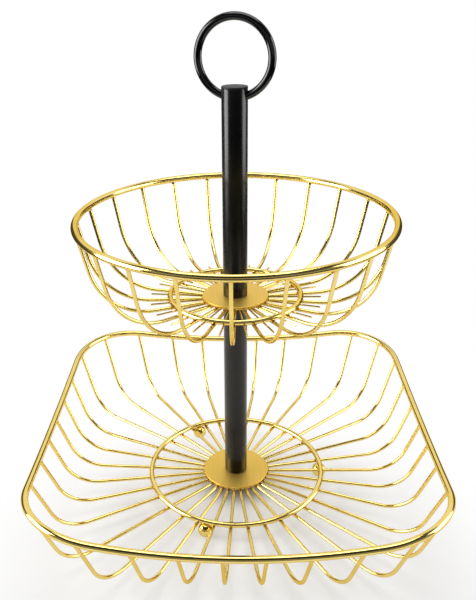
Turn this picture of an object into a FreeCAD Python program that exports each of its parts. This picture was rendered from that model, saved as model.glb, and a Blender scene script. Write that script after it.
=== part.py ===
"""Two-tier wire fruit basket: a square lower basket and a round upper basket on one black post.

The origin is on the floor under the post, +Z is up and -Y is the front. All lengths are in millimetres
and all angles in degrees.
"""
import FreeCAD, Part
import math
import os
from collections import namedtuple

import Sketcher

# Driving dimensions, one cell each

SIZES = {
    # Wires and welds
    "rib_wire": 2.8,
    "weld_gap": 0.05,
    # Feet
    "foot_ball_radius": 6.0,
    "foot_flat_radius": 1.5,
    "foot_neck_radius": 1.9,
    # Ribs of its side that come before each foot
    "foot_right_rib_count": 4,
    "foot_back_left_rib_count": 7,
    "foot_front_left_rib_count": 2,
    # Lower basket
    "lower_rim_wire": 5.4,
    "lower_rim_half_width": 158.3,
    "lower_rim_rise": 45.0,
    "lower_side_half_chord": 97.5,
    "lower_side_bow": 2.7,
    "lower_side_dip": 7.8,
    "lower_ring_radius": 74.4,
    "lower_ring_wire": 4.3,
    "lower_rib_slope": 68.5,
    "lower_rib_bend": 32.0,
    "lower_disc_radius": 28.0,
    # Upper basket
    "upper_rim_wire": 5.4,
    "upper_rim_radius": 120.0,
    "upper_rim_rise": 63.8,
    "upper_ring_radius": 51.5,
    "upper_ring_wire": 4.3,
    "upper_rib_slope": 77.0,
    "upper_rib_bend": 48.5,
    "upper_disc_radius": 26.0,
    "upper_spoke_wire": 1.4,
    "upper_spoke_overhang": 16.5,
    # Ribs of each side: how many, the angle of the row's middle from the side's middle, the angle between two
    "lower_right_rib_count": 7,
    "lower_right_rib_turn": 0.6,
    "lower_right_rib_step_angle": 10.7,
    "lower_back_rib_count": 8,
    "lower_back_rib_turn": -2.8,
    "lower_back_rib_step_angle": 10.3,
    "lower_left_rib_count": 7,
    "lower_left_rib_turn": -2.9,
    "lower_left_rib_step_angle": 10.8,
    "lower_front_rib_count": 8,
    "lower_front_rib_turn": 2.0,
    "lower_front_rib_step_angle": 10.7,
    "upper_right_rib_count": 6,
    "upper_right_rib_turn": 0.0,
    "upper_right_rib_step_angle": 16.6,
    "upper_back_rib_count": 6,
    "upper_back_rib_turn": 4.6,
    "upper_back_rib_step_angle": 15.1,
    "upper_left_rib_count": 5,
    "upper_left_rib_turn": 3.1,
    "upper_left_rib_step_angle": 17.3,
    "upper_front_rib_count": 5,
    "upper_front_rib_turn": -1.3,
    "upper_front_rib_step_angle": 16.9,
    # Hub discs
    "disc_thickness": 2.0,
    "disc_edge_bevel": 0.5,
    "disc_rib_lap": 8.0,
    # Post
    "post_diameter": 19.0,
    "post_wall": 1.2,
    "post_end_bevel": 0.3,
    "lower_post_length": 166.0,
    "upper_post_length": 158.0,
    "cap_thickness": 1.0,
    "cap_bevel": 0.4,
    "cap_spigot": 0.7,
    # Screw joints
    "thread_diameter": 8.0,
    "thread_clearance": 0.05,
    "thread_bevel": 0.8,
    "through_hole_clearance": 0.2,
    "insert_length": 14.0,
    "insert_fit": 0.03,
    "insert_bevel": 0.5,
    "stud_engagement": 12.0,
    "bolt_engagement": 12.0,
    "bolt_head_flats": 13.0,
    "bolt_head_height": 5.3,
    "base_washer_radius": 8.0,
    "base_washer_thickness": 1.6,
    "post_washer_inset": 0.5,
    "post_washer_thickness": 0.6,
    # Ring handle
    "ring_radius": 27.0,
    "ring_wire": 5.8,
    "ring_turn": 17.0,
    "ring_hole_drop": 5.4,
    "ring_hole_clearance": 0.8,
}

FULL_TURN = 360.0
QUARTER_TURN = FULL_TURN / 4
# A quarter's middle direction, for each side of a basket
SIDE_ANGLES = {"right": 0.0, "back": QUARTER_TURN, "left": 2 * QUARTER_TURN, "front": 3 * QUARTER_TURN}
# The side among whose ribs each foot stands
FOOT_SIDES = {"foot_right": "right", "foot_back_left": "back", "foot_front_left": "front"}
HEXAGON_SIDES = 6

ORIGIN = FreeCAD.Vector(0, 0, 0)
UP = FreeCAD.Vector(0, 0, 1)
RADIAL = FreeCAD.Vector(1, 0, 0)
ACROSS = FreeCAD.Vector(0, 1, 0)

doc = FreeCAD.newDocument("TieredWireBasket")
sheet = doc.addObject("Spreadsheet::Sheet", "Sizes")
for row, (alias, value) in enumerate(SIZES.items(), start=1):
    sheet.set(f"A{row}", alias)
    sheet.set(f"B{row}", str(value))
    sheet.setAlias(f"B{row}", alias)
doc.recompute()

# Heights and radii that follow from the driving dimensions

FOLLOWING = {
    "post_radius": "Sizes.post_diameter / 2",
    "post_bore": "Sizes.post_diameter / 2 - Sizes.post_wall",
    "thread_radius": "Sizes.thread_diameter / 2",
    "thread_bore": "Sizes.thread_diameter / 2 + Sizes.thread_clearance",
    "through_bore": "Sizes.thread_diameter / 2 + Sizes.through_hole_clearance",
    "insert_radius": "Follows.post_bore - Sizes.insert_fit",
    "ring_hole": "Sizes.ring_wire / 2 + Sizes.ring_hole_clearance",
    "foot_centre": "sqrt(Sizes.foot_ball_radius ^ 2 - Sizes.foot_flat_radius ^ 2)",
    "lower_ring_level": "Follows.foot_centre + Sizes.foot_ball_radius + Sizes.lower_ring_wire / 2",
    "lower_disc_level": "Follows.lower_ring_level - Sizes.lower_ring_wire / 2",
    "lower_post_level": "Follows.lower_disc_level + Sizes.disc_thickness",
    "upper_disc_level": "Follows.lower_post_level + Sizes.lower_post_length",
    "upper_ring_level": "Follows.upper_disc_level + Sizes.upper_ring_wire / 2",
    "post_washer_level": "Follows.upper_disc_level + Sizes.disc_thickness",
    "upper_post_level": "Follows.post_washer_level + Sizes.post_washer_thickness",
    "cap_level": "Follows.upper_post_level + Sizes.upper_post_length",
    "ring_hole_level": "Follows.cap_level - Sizes.ring_hole_drop",
    "ring_hole_reach": "Follows.post_radius - Sizes.post_wall / 2",
    "ring_level": "Follows.ring_hole_level + sqrt(Sizes.ring_radius ^ 2 - Follows.ring_hole_reach ^ 2)",
}

follows = doc.addObject("App::VarSet", "Follows")
for name, expression in FOLLOWING.items():
    follows.addProperty("App::PropertyFloat", name, "Following")
    follows.setExpression(name, expression)
doc.recompute()

nodes = []


def size(alias):
    """A driving dimension as a number."""
    return float(sheet.get(alias))


def node(piece, name):
    """Names a finished sub-part and keeps it for the export."""
    piece.Label = name
    nodes.append(piece)
    return piece


def bind(piece, **expressions):
    """Binds properties of an object to the sheet."""
    for name, expression in expressions.items():
        piece.setExpression(name, expression)
    return piece


def raise_to(piece, expression):
    """Binds an object's height above the floor."""
    piece.setExpression("Placement.Base.z", expression)
    return piece


def torus(name, radius, wire, height):
    """A closed ring of round wire that lies level."""
    ring = bind(doc.addObject("Part::Torus", name), Radius1=radius, Radius2=wire)
    return raise_to(ring, height)


def turned_body(name, corners, height):
    """A body turned about the post's axis.

    corners are the (radius, height) expressions of its half section, in order round the outline.
    """
    body = doc.addObject("PartDesign::Body", name)
    sketch = body.newObject("Sketcher::SketchObject", name + "_section")
    plane = next(item for item in body.Origin.OriginFeatures if item.Role == "XZ_Plane")
    sketch.AttachmentSupport = [(plane, "")]
    sketch.MapMode = "FlatFace"
    points = [
        FreeCAD.Vector(sheet.evalExpression(radius), sheet.evalExpression(level), 0)
        for radius, level in corners
    ]
    for start, end in zip(points, points[1:] + points[:1]):
        sketch.addGeometry(Part.LineSegment(start, end), False)
    last = len(corners) - 1
    for line in range(len(corners)):
        before = line - 1 if line else last
        sketch.addConstraint(Sketcher.Constraint("Coincident", before, 2, line, 1))
    for line, ((radius, level), point) in enumerate(zip(corners, points)):
        for kind, value, expression in (("DistanceX", point.x, radius), ("DistanceY", point.y, level)):
            index = sketch.addConstraint(Sketcher.Constraint(kind, -1, 1, line, 1, value))
            sketch.setExpression(f"Constraints[{index}]", expression)
    turning = body.newObject("PartDesign::Revolution", name + "_turning")
    turning.Profile = sketch
    turning.ReferenceAxis = (sketch, ["V_Axis"])
    turning.Angle = FULL_TURN
    body.Tip = turning
    return raise_to(body, height)


def bored(name, outer, bore, length, bevel, height):
    """A turned sleeve with a bevel on the outer edge of each end."""
    corners = [
        (bore, "0"),
        (f"{outer} - {bevel}", "0"),
        (outer, bevel),
        (outer, f"{length} - {bevel}"),
        (f"{outer} - {bevel}", length),
        (bore, length),
    ]
    return turned_body(name, corners, height)


# Rims

Arc = namedtuple("Arc", "centre out along radius half_angle")


def arc_point(arc, turn):
    """The point of an arc at an angle from its middle."""
    return arc.centre + (arc.out * math.cos(turn) + arc.along * math.sin(turn)) * arc.radius


def arc_tangent(arc, turn):
    """The direction of travel of an arc at an angle from its middle."""
    return arc.along * math.cos(turn) - arc.out * math.sin(turn)


def lower_side_arc():
    """The right-hand side of the lower rim, which bows outwards and dips in its middle."""
    bow = size("lower_side_bow")
    dip = size("lower_side_dip")
    chord = size("lower_side_half_chord")
    sag = math.hypot(bow, dip)
    radius = (chord ** 2 + sag ** 2) / (2 * sag)
    out = FreeCAD.Vector(bow / sag, 0, -dip / sag)
    middle = FreeCAD.Vector(size("lower_rim_half_width"), 0, size("lower_rim_rise"))
    return Arc(middle - out * radius, out, ACROSS, radius, math.asin(chord / radius))


def lower_corner_arc(side):
    """The corner arc that leaves the right-hand side smoothly and meets the back side alike."""
    start = arc_point(side, side.half_angle)
    leaving = arc_tangent(side, side.half_angle)
    end = FreeCAD.Vector(start.y, start.x, start.z)
    along = (end - start).normalize()
    half_angle = math.acos(leaving.dot(along))
    out = (leaving - along * math.cos(half_angle)).normalize()
    radius = start.distanceToPoint(end) / (2 * math.sin(half_angle))
    centre = (start + end) / 2 - out * (radius * math.cos(half_angle))
    return Arc(centre, out, along, radius, half_angle)


def arc_wire(arc, wire_radius):
    """A round wire bent along an arc."""
    start = arc_point(arc, -arc.half_angle)
    section = Part.Circle(start, arc_tangent(arc, -arc.half_angle), wire_radius).toShape()
    face = Part.Face(Part.Wire(section))
    return face.revolve(arc.centre, arc.out.cross(arc.along), math.degrees(2 * arc.half_angle))


def lower_rim_wire(wire_radius):
    """The closed lower rim: four sides and four corners in one wire."""
    side = lower_side_arc()
    runs = [arc_wire(arc, wire_radius) for arc in (side, lower_corner_arc(side))]
    turned = []
    for angle in SIDE_ANGLES.values():
        for run in runs:
            copy = run.copy()
            copy.rotate(ORIGIN, UP, angle)
            turned.append(copy)
    return turned[0].multiFuse(turned[1:]).removeSplitter().Solids[0]


def lower_rim_place(angle):
    """The distance from the post and the height of the lower rim's centre line, in a direction."""
    side = lower_side_arc()
    edge = arc_point(side, side.half_angle)
    arc = side if abs(angle) <= math.degrees(math.atan2(edge.y, edge.x)) else lower_corner_arc(side)
    if angle < 0 and arc is not side:
        angle = -angle
    turn = math.radians(angle)
    normal = FreeCAD.Vector(-math.sin(turn), math.cos(turn), 0)
    cosine = normal.dot(arc.out) * arc.radius
    sine = normal.dot(arc.along) * arc.radius
    middle = math.atan2(sine, cosine)
    spread = math.acos(-normal.dot(arc.centre) / math.hypot(cosine, sine))
    point = arc_point(arc, min(middle - spread, middle + spread, key=abs))
    return math.hypot(point.x, point.y), point.z


# Ribs

def rib_wire(inner, level, rim_radius, rim_level, slope, bend):
    """One rib: a level run from under the hub disc, a bend and a straight side up to the rim."""
    lean = math.radians(slope)
    corner = rim_radius - (rim_level - level) / math.tan(lean)
    setback = bend * math.tan(lean / 2)
    start = FreeCAD.Vector(inner, 0, level)
    bend_start = FreeCAD.Vector(corner - setback, 0, level)
    bend_centre = bend_start + UP * bend
    bend_middle = bend_centre + (RADIAL * math.sin(lean / 2) - UP * math.cos(lean / 2)) * bend
    bend_end = bend_centre + (RADIAL * math.sin(lean) - UP * math.cos(lean)) * bend
    end = FreeCAD.Vector(rim_radius, 0, rim_level)
    path = Part.Wire([
        Part.LineSegment(start, bend_start).toShape(),
        Part.Arc(bend_start, bend_middle, bend_end).toShape(),
        Part.LineSegment(bend_end, end).toShape(),
    ])
    section = Part.Face(Part.Wire(Part.Circle(start, RADIAL, size("rib_wire") / 2).toShape()))
    return path.makePipe(section)


def coped(rib, rim, angle):
    """A rib turned into its direction, with its top end cut to the round of the rim."""
    rib.rotate(ORIGIN, UP, angle)
    return rib.cut(rim).Solids[0]


def rib_group(name, ribs, angle, height):
    """Ribs or spokes as one piece, turned to their side and set at the height of their base ring."""
    group = doc.addObject("Part::Feature", name)
    group.Shape = Part.makeCompound(ribs)
    group.Placement = FreeCAD.Placement(FreeCAD.Vector(0, 0, height), FreeCAD.Rotation(UP, angle))
    return node(group, name)


def level_under(ring_wire, wire):
    """The height of a wire that lies under a base ring, from the middle of that ring."""
    return -(size(ring_wire) / 2 + size("weld_gap") + size(wire) / 2)


def rib_angles(tier, side):
    """The directions of a side's ribs, from the middle of that side."""
    count = int(size(f"{tier}_{side}_rib_count"))
    step = size(f"{tier}_{side}_rib_step_angle")
    first = size(f"{tier}_{side}_rib_turn") - step * (count - 1) / 2
    return [first + step * number for number in range(count)]


def lower_ribs():
    """The ribs of the lower basket, by side, and a corner rib midway between two sides' ribs."""
    rim = lower_rim_wire(size("lower_rim_wire") / 2 + size("weld_gap"))
    inner = size("lower_disc_radius") - size("disc_rib_lap")
    level = level_under("lower_ring_wire", "rib_wire")
    slope = size("lower_rib_slope")
    bend = size("lower_rib_bend")
    height = follows.lower_ring_level

    def rib(angle):
        rim_radius, rim_level = lower_rim_place(angle)
        return coped(rib_wire(inner, level, rim_radius, rim_level, slope, bend), rim, angle)

    sides = list(SIDE_ANGLES)
    corner_ribs = []
    for side, next_side in zip(sides, sides[1:] + sides[:1]):
        angles = rib_angles("lower", side)
        rib_group(f"lower_{side}_ribs", [rib(angle) for angle in angles], SIDE_ANGLES[side], height)
        corner = (angles[-1] + rib_angles("lower", next_side)[0] + QUARTER_TURN) / 2
        corner_rib = rib(corner)
        corner_rib.rotate(ORIGIN, UP, SIDE_ANGLES[side])
        corner_ribs.append(corner_rib)
    rib_group("lower_corner_ribs", corner_ribs, 0, height)


def upper_ribs():
    """The ribs of the upper basket, by side."""
    rim_radius = size("upper_rim_radius")
    rim_level = size("upper_rim_rise")
    rim = Part.makeTorus(rim_radius, size("upper_rim_wire") / 2 + size("weld_gap"))
    rim.translate(UP * rim_level)
    inner = size("upper_disc_radius") - size("disc_rib_lap")
    level = level_under("upper_ring_wire", "rib_wire")
    slope = size("upper_rib_slope")
    bend = size("upper_rib_bend")
    master = coped(rib_wire(inner, level, rim_radius, rim_level, slope, bend), rim, 0)
    for side, side_angle in SIDE_ANGLES.items():
        ribs = []
        for angle in rib_angles("upper", side):
            copy = master.copy()
            copy.rotate(ORIGIN, UP, angle)
            ribs.append(copy)
        rib_group(f"upper_{side}_ribs", ribs, side_angle, follows.upper_ring_level)


def upper_spokes():
    """Thin spokes of the upper basket's base, one midway between each two ribs."""
    inner = size("upper_disc_radius") - size("disc_rib_lap")
    outer = size("upper_ring_radius") + size("upper_spoke_overhang")
    start = FreeCAD.Vector(inner, 0, level_under("upper_ring_wire", "upper_spoke_wire"))
    master = Part.makeCylinder(size("upper_spoke_wire") / 2, outer - inner, start, RADIAL)
    angles = [
        side_angle + angle
        for side, side_angle in SIDE_ANGLES.items()
        for angle in rib_angles("upper", side)
    ]
    spokes = []
    for angle, next_angle in zip(angles, angles[1:] + [angles[0] + FULL_TURN]):
        spoke = master.copy()
        spoke.rotate(ORIGIN, UP, (angle + next_angle) / 2)
        spokes.append(spoke)
    rib_group("upper_base_spokes", spokes, 0, follows.upper_ring_level)


# Baskets

def hub_disc(name, radius, height):
    """The plate that gathers the ribs round the post, with its top edge bevelled."""
    bevel = "Sizes.disc_edge_bevel"
    thickness = "Sizes.disc_thickness"
    corners = [
        ("Follows.through_bore", "0"),
        (radius, "0"),
        (radius, f"{thickness} - {bevel}"),
        (f"{radius} - {bevel}", thickness),
        ("Follows.through_bore", thickness),
    ]
    return node(turned_body(name, corners, height), name)


def lower_basket():
    """The square basket with its dipping rim."""
    rim = doc.addObject("Part::Feature", "lower_rim")
    rim.Shape = lower_rim_wire(size("lower_rim_wire") / 2)
    rim.Placement = FreeCAD.Placement(UP * follows.lower_ring_level, FreeCAD.Rotation())
    node(rim, "lower_rim")
    lower_ribs()
    base = torus(
        "lower_base_ring", "Sizes.lower_ring_radius", "Sizes.lower_ring_wire / 2", "Follows.lower_ring_level"
    )
    node(base, "lower_base_ring")
    hub_disc("lower_hub_disc", "Sizes.lower_disc_radius", "Follows.lower_disc_level")


def upper_basket():
    """The round basket."""
    rim = torus(
        "upper_rim",
        "Sizes.upper_rim_radius",
        "Sizes.upper_rim_wire / 2",
        "Follows.upper_ring_level + Sizes.upper_rim_rise",
    )
    node(rim, "upper_rim")
    upper_ribs()
    upper_spokes()
    base = torus(
        "upper_base_ring", "Sizes.upper_ring_radius", "Sizes.upper_ring_wire / 2", "Follows.upper_ring_level"
    )
    node(base, "upper_base_ring")
    hub_disc("upper_hub_disc", "Sizes.upper_disc_radius", "Follows.upper_disc_level")


def feet():
    """Three balls welded under the lower base ring midway between two ribs, each with a small flat."""
    seat = torus(
        "foot_seat",
        "Sizes.lower_ring_radius",
        "Sizes.lower_ring_wire / 2 + Sizes.weld_gap",
        "Follows.lower_ring_level",
    )
    for name, side in FOOT_SIDES.items():
        count = int(size(name + "_rib_count"))
        angles = rib_angles("lower", side)
        angle = SIDE_ANGLES[side] + (angles[count - 1] + angles[count]) / 2
        place = {
            "Placement.Base.x": f"Sizes.lower_ring_radius * cos({angle})",
            "Placement.Base.y": f"Sizes.lower_ring_radius * sin({angle})",
            "Placement.Base.z": "Follows.foot_centre",
        }
        ball = bind(
            doc.addObject("Part::Sphere", name + "_ball"),
            Radius="Sizes.foot_ball_radius",
            Angle1="-acos(Sizes.foot_flat_radius / Sizes.foot_ball_radius)",
            **place,
        )
        neck = bind(
            doc.addObject("Part::Cylinder", name + "_neck"),
            Radius="Sizes.foot_neck_radius",
            Height="Follows.lower_ring_level - Follows.foot_centre",
            **place,
        )
        joined = doc.addObject("Part::Fuse", name + "_whole")
        joined.Base = ball
        joined.Tool = neck
        foot = doc.addObject("Part::Cut", name)
        foot.Base = joined
        foot.Tool = seat
        node(foot, name)


# Post

def tube(name, length, height):
    """A length of black post."""
    return bored(name, "Follows.post_radius", "Follows.post_bore", length, "Sizes.post_end_bevel", height)


def insert(name, height):
    """A threaded plug pressed into the end of a post."""
    outer = "Follows.insert_radius"
    piece = bored(name, outer, "Follows.thread_bore", "Sizes.insert_length", "Sizes.insert_bevel", height)
    return node(piece, name)


def washer(name, radius, thickness, height):
    """A flat washer on a threaded shank."""
    corners = [
        ("Follows.through_bore", "0"),
        (radius, "0"),
        (radius, thickness),
        ("Follows.through_bore", thickness),
    ]
    return node(turned_body(name, corners, height), name)


def lower_post():
    """The post between the baskets with its two threaded ends."""
    node(tube("lower_post", "Sizes.lower_post_length", "Follows.lower_post_level"), "lower_post")
    insert("lower_post_bottom_insert", "Follows.lower_post_level")
    insert("lower_post_top_insert", "Follows.upper_disc_level - Sizes.insert_length")


def base_bolt():
    """The bolt and washer that pull the lower hub disc up against the post."""
    washer(
        "base_washer",
        "Sizes.base_washer_radius",
        "Sizes.base_washer_thickness",
        "Follows.lower_disc_level - Sizes.base_washer_thickness",
    )
    seat = "Follows.lower_disc_level - Sizes.base_washer_thickness"
    head = bind(
        doc.addObject("Part::Prism", "base_bolt_head"),
        Circumradius=f"Sizes.bolt_head_flats / 2 / cos({FULL_TURN / HEXAGON_SIDES / 2})",
        Height="Sizes.bolt_head_height",
    )
    head.Polygon = HEXAGON_SIDES
    raise_to(head, f"{seat} - Sizes.bolt_head_height")
    shank = bind(
        doc.addObject("Part::Cylinder", "base_bolt_shank"),
        Radius="Follows.thread_radius",
        Height="Sizes.base_washer_thickness + Sizes.disc_thickness + Sizes.bolt_engagement",
    )
    raise_to(shank, seat)
    bolt = doc.addObject("Part::Fuse", "base_bolt")
    bolt.Base = head
    bolt.Tool = shank
    node(bolt, "base_bolt")


def joint_stud():
    """The stud that stands out of the lower post, through the upper hub disc, into the upper post."""
    radius = "Follows.thread_radius"
    bevel = "Sizes.thread_bevel"
    length = "(2 * Sizes.stud_engagement + Sizes.disc_thickness + Sizes.post_washer_thickness)"
    corners = [
        ("0", "0"),
        (f"{radius} - {bevel}", "0"),
        (radius, bevel),
        (radius, f"{length} - {bevel}"),
        (f"{radius} - {bevel}", length),
        ("0", length),
    ]
    stud = turned_body("joint_stud", corners, "Follows.upper_disc_level - Sizes.stud_engagement")
    node(stud, "joint_stud")


def ring_axis_placement(level):
    """The place of the ring handle's cross holes: level, through the post and turned with the ring."""
    return FreeCAD.Placement(UP * level, FreeCAD.Rotation(UP, -size("ring_turn")))


def upper_post():
    """The post above the upper basket: its tube, cross holes, threaded end and cap."""
    plain = tube("upper_post_tube", "Sizes.upper_post_length", "Follows.upper_post_level")
    drill = bind(
        doc.addObject("Part::Cylinder", "ring_hole_drill"),
        Radius="Follows.ring_hole",
        Height="2 * Sizes.post_diameter",
    )
    lying = FreeCAD.Placement(RADIAL * -size("post_diameter"), FreeCAD.Rotation(UP, RADIAL))
    drill.Placement = ring_axis_placement(follows.ring_hole_level).multiply(lying)
    drilled = doc.addObject("Part::Cut", "upper_post")
    drilled.Base = plain
    drilled.Tool = drill
    node(drilled, "upper_post")
    insert("upper_post_insert", "Follows.upper_post_level")
    washer(
        "post_washer",
        "Follows.post_radius - Sizes.post_washer_inset",
        "Sizes.post_washer_thickness",
        "Follows.post_washer_level",
    )
    edge = "Follows.post_radius"
    corners = [
        ("0", "-Sizes.cap_spigot"),
        ("Follows.insert_radius", "-Sizes.cap_spigot"),
        ("Follows.insert_radius", "0"),
        (edge, "0"),
        (edge, "Sizes.cap_thickness - Sizes.cap_bevel"),
        (f"{edge} - Sizes.cap_bevel", "Sizes.cap_thickness"),
        ("0", "Sizes.cap_thickness"),
    ]
    node(turned_body("post_cap", corners, "Follows.cap_level"), "post_cap")


def ring_handle():
    """The ring that passes through the top of the post and stands upright above it."""
    ring = bind(
        doc.addObject("Part::Torus", "ring_handle"),
        Radius1="Sizes.ring_radius",
        Radius2="Sizes.ring_wire / 2",
    )
    upright = FreeCAD.Placement(ORIGIN, FreeCAD.Rotation(UP, ACROSS))
    ring.Placement = ring_axis_placement(follows.ring_level).multiply(upright)
    node(ring, "ring_handle")


lower_basket()
feet()
lower_post()
base_bolt()
joint_stud()
upper_basket()
upper_post()
ring_handle()
doc.recompute()

for item in doc.Objects:
    if "Invalid" in item.State or "Error" in item.State:
        raise RuntimeError(f"{item.Label} failed: {item.State}")
for piece in nodes:
    if piece.Shape.isNull() or not piece.Shape.isValid() or not piece.Shape.Solids:
        raise RuntimeError(f"{piece.Label} has no valid solid")

os.makedirs("parts", exist_ok=True)
for piece in nodes:
    piece.Shape.exportStep(f"parts/{piece.Label}.step")
top = follows.ring_level + size("ring_radius") + size("ring_wire") / 2
print(f"{len(nodes)} sub-parts, top of the ring at {top:.1f} mm")
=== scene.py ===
"""Looks of the two-tier wire fruit basket: polished gold wire, brushed gold plates and a black post.

Lengths are in metres and angles in degrees, in the part's own frame: the floor is at height zero, +Z runs
up the post and -Y is the front.
"""
import logging
import math
from dataclasses import dataclass
from enum import Enum
from typing import Any, Callable, Iterable, Union

import bmesh
import bpy
from mathutils import Matrix, Vector


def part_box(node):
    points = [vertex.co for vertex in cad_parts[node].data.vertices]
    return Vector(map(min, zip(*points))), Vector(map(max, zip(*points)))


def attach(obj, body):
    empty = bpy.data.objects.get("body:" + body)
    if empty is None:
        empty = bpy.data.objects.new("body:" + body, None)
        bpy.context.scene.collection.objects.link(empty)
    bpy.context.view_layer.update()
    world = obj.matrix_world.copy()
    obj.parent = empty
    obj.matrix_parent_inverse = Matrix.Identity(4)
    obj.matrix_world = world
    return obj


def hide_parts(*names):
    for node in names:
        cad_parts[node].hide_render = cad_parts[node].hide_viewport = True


LOG = logging.getLogger("wire_basket")
MM = 0.001
UP = Vector((0.0, 0.0, 1.0))
RADIAL = Vector((1.0, 0.0, 0.0))
ACROSS = Vector((0.0, 1.0, 0.0))
FULL_TURN = 360.0
QUARTER_TURN = FULL_TURN / 4
SHARP_ANGLE = 35.0
MERGE_DISTANCE = 0.002 * MM
LEVEL_NORMAL = 0.999
NOISE_MIDDLE = 0.5
DISC_VERTICES = 128
RING_SIDES = 24
RING_STEPS = 144

Colour = tuple[float, float, float]
Place = tuple[float, float, float]
Span = tuple[float, float]
Piece = bpy.types.Object
Material = bpy.types.Material

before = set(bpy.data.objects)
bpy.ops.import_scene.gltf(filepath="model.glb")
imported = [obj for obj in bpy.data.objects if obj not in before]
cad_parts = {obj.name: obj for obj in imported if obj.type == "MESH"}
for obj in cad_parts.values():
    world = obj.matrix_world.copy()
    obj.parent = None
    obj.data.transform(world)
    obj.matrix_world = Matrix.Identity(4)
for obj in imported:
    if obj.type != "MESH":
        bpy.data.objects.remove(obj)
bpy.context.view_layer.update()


class Body(Enum):
    """The bodies that the modelled pieces move with."""

    LOWER_TIER = "lower_tier"
    UPPER_BASKET = "upper_basket"
    UPPER_POST = "upper_post"
    RING_HANDLE = "ring_handle"


class Slot(Enum):
    """The slots of the part's record that the modelled pieces belong to."""

    GOLD_WIRE = "gold_wire"
    BRUSHED_GOLD = "brushed_gold"
    BLACK_PAINT = "black_paint"
    ZINC_STEEL = "zinc_steel"


class Side(Enum):
    """The sides of a basket, each with the direction of its middle."""

    RIGHT = 0.0
    BACK = QUARTER_TURN
    LEFT = 2 * QUARTER_TURN
    FRONT = 3 * QUARTER_TURN


# Shader maths


@dataclass(frozen=True)
class Value:
    """One output of a shader node, with the arithmetic of numbers."""

    shader: "Shader"
    node: bpy.types.Node
    output: Union[int, str]

    @property
    def socket(self) -> bpy.types.NodeSocket:
        """The socket to link from."""
        return self.node.outputs[self.output]

    def part(self, output: Union[int, str]) -> "Value":
        """Another output of the same node."""
        return Value(self.shader, self.node, output)

    def _math(self, operation: str, *numbers: "Input") -> "Value":
        """Adds a Math node for an operation on numbers."""
        return self.shader.node("ShaderNodeMath", {"operation": operation}, dict(enumerate(numbers)))

    def __add__(self, other: "Input") -> "Value":
        """The sum with another value."""
        return self._math("ADD", self, other)

    __radd__ = __add__

    def __sub__(self, other: "Input") -> "Value":
        """This value less another."""
        return self._math("SUBTRACT", self, other)

    def __rsub__(self, other: "Input") -> "Value":
        """Another value less this one."""
        return self._math("SUBTRACT", other, self)

    def __mul__(self, other: "Input") -> "Value":
        """The product with another value."""
        return self._math("MULTIPLY", self, other)

    def __pow__(self, power: "Input") -> "Value":
        """This value raised to a power."""
        return self._math("POWER", self, power)

    def __abs__(self) -> "Value":
        """The size of this value without its sign."""
        return self._math("ABSOLUTE", self)

    def or_more(self, other: "Input") -> "Value":
        """The larger of this value and another."""
        return self._math("MAXIMUM", self, other)

    def rise(self, low: float, high: float) -> "Value":
        """A smooth step from 0 at the low value to 1 at the high one."""
        inputs = {"Value": self, "From Min": low, "From Max": high}
        return self.shader.node("ShaderNodeMapRange", {"interpolation_type": "SMOOTHSTEP"}, inputs)

    def between(self, start: Span, end: Span) -> "Value":
        """A smooth step from 0 to 1 over the first span and back to 0 over the second."""
        return self.rise(*start) * (1 - self.rise(*end))


Input = Union[Value, float, tuple]


def distance(x: Value, y: Value) -> Value:
    """The distance that two parts at right angles make."""
    return (x * x + y * y) ** 0.5


@dataclass(frozen=True)
class Noise:
    """Soft noise about 0.5: its waves to a metre and how fine its detail is."""

    waves: float
    detail: float = 2.0


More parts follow.
